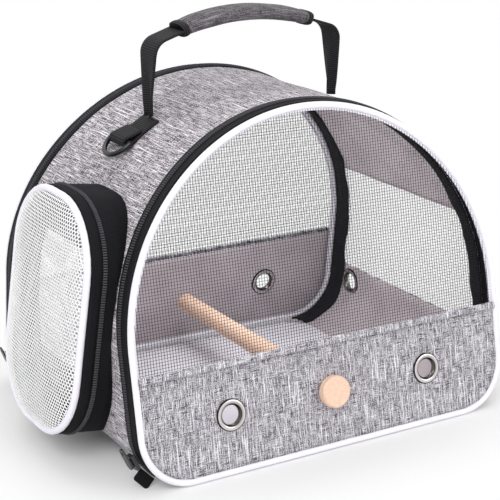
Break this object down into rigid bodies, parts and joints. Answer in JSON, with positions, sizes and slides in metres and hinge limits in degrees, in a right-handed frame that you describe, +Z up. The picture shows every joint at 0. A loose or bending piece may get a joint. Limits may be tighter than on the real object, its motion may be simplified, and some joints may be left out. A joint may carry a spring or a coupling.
{
  "type": "bird travel carrier",
  "caption": "Soft-sided arched carrier for a small bird: net end doors on zips, a perch, a side pocket, a padded handle and rings for a strap.",
  "frame": {"origin": "middle of the underside, on the surface it stands on", "axes": "+X to the right of someone facing the front door, +Y from the front door to the back door, +Z up"},
  "size_m": [0.3723, 0.2699, 0.3266],
  "materials": {
    "grey_fabric": "heather-grey woven fabric over a light-grey lining",
    "grey_binding": "woven edge tape",
    "black_net": "square-hole net",
    "white_net": "hexagonal-hole net",
    "white_piping": "smooth coated cord cover",
    "black_tape": "woven zip tape",
    "black_webbing": "ribbed webbing",
    "zip_coil": "moulded coil",
    "zip_metal": "dark painted",
    "nickel": "polished nickel",
    "black_metal": "gloss black",
    "wood": "plain sanded wood",
    "board": "fabric-covered stiff board"
  },
  "bodies": {
    "body": {"gusset_left": "grey_fabric", "gusset_right": "grey_fabric", "gusset_top": "grey_fabric", "base_panel": "grey_fabric", "window_net_left": "white_net", "window_net_right": "white_net", "side_eyelet_left": "nickel", "side_eyelet_right": "nickel", "front_body_tape": "black_tape", "front_coil": "zip_coil", "back_body_tape": "black_tape", "back_coil": "zip_coil", "front_zip_tab": "black_tape", "back_zip_tab": "black_tape", "pocket_base": "black_tape", "pocket_coil": "zip_coil", "sewn_strap_left": "black_webbing", "sewn_strap_right": "black_webbing"},
    "front_door": {"front_band": "grey_fabric", "front_net": "black_net", "front_binding": "grey_binding", "front_piping": "white_piping", "front_door_tape": "black_tape", "front_eyelet_left": "nickel", "front_eyelet_right": "nickel", "perch": "wood", "perch_screw": "nickel"},
    "back_door": {"back_band": "grey_fabric", "back_net": "black_net", "back_binding": "grey_binding", "back_piping": "white_piping", "back_door_tape": "black_tape", "back_eyelet_left": "nickel", "back_eyelet_right": "nickel"},
    "perch_nut": {"perch_nut": "wood"},
    "pocket_cover": {"pocket_cover": "black_tape", "pocket_piping": "white_piping", "pocket_net": "white_net"},
    "handle": {"handle_strap_left": "black_webbing", "handle_strap_right": "black_webbing", "handle_grip": "grey_fabric"},
    "left_d_ring": {"d_ring_left": "black_metal"},
    "right_d_ring": {"d_ring_right": "black_metal"},
    "front_zip_slider": {"front_slider": "zip_metal"},
    "back_zip_slider": {"back_slider": "zip_metal"},
    "pocket_slider": {"pocket_slider": "zip_metal"},
    "floor_board": {"floor_board": "board"}
  },
  "joints": [
    {"name": "front_door_hinge", "type": "hinge", "parent": "body", "child": "front_door", "pos_m": [0, -0.1345, 0.001], "axis": [1, 0, 0], "range_deg": [0, 95]},
    {"name": "back_door_hinge", "type": "hinge", "parent": "body", "child": "back_door", "pos_m": [0, 0.1345, 0.001], "axis": [-1, 0, 0], "range_deg": [0, 95]},
    {"name": "perch_nut_slide", "type": "slide", "parent": "front_door", "child": "perch_nut", "axis": [0, -0.9816, 0.1908], "range_m": [0, 0.015]},
    {"name": "pocket_hinge", "type": "hinge", "parent": "body", "child": "pocket_cover", "pos_m": [-0.17786, 0.0505, 0.11243], "axis": [-0.1392, 0, -0.9903], "range_deg": [0, 110]},
    {"name": "handle_fold", "type": "hinge", "parent": "body", "child": "handle", "pos_m": [0, 0.01, 0.24946], "axis": [1, 0, 0], "range_deg": [-55, 55]},
    {"name": "left_d_ring_hinge", "type": "hinge", "parent": "body", "child": "left_d_ring", "pos_m": [-0.10919, 0.01, 0.22984], "axis": [0, 1, 0], "range_deg": [0, 120]},
    {"name": "right_d_ring_hinge", "type": "hinge", "parent": "body", "child": "right_d_ring", "pos_m": [0.10919, 0.01, 0.22984], "axis": [0, -1, 0], "range_deg": [0, 120]},
    {"name": "front_zip_travel", "type": "hinge", "parent": "body", "child": "front_zip_slider", "pos_m": [-0.125, -0.11347, 0.03909], "axis": [0, 0.9816, -0.1908], "range_deg": [0, 22]},
    {"name": "back_zip_travel", "type": "hinge", "parent": "body", "child": "back_zip_slider", "pos_m": [-0.125, 0.11605, 0.04031], "axis": [0, 0.9925, 0.1219], "range_deg": [0, 22]},
    {"name": "pocket_zip_travel", "type": "slide", "parent": "body", "child": "pocket_slider", "axis": [0, -1, 0], "range_m": [0, 0.012]},
    {"name": "floor_board_lift", "type": "slide", "parent": "body", "child": "floor_board", "axis": [0, 0, 1], "range_m": [0, 0.02]}
  ]
}
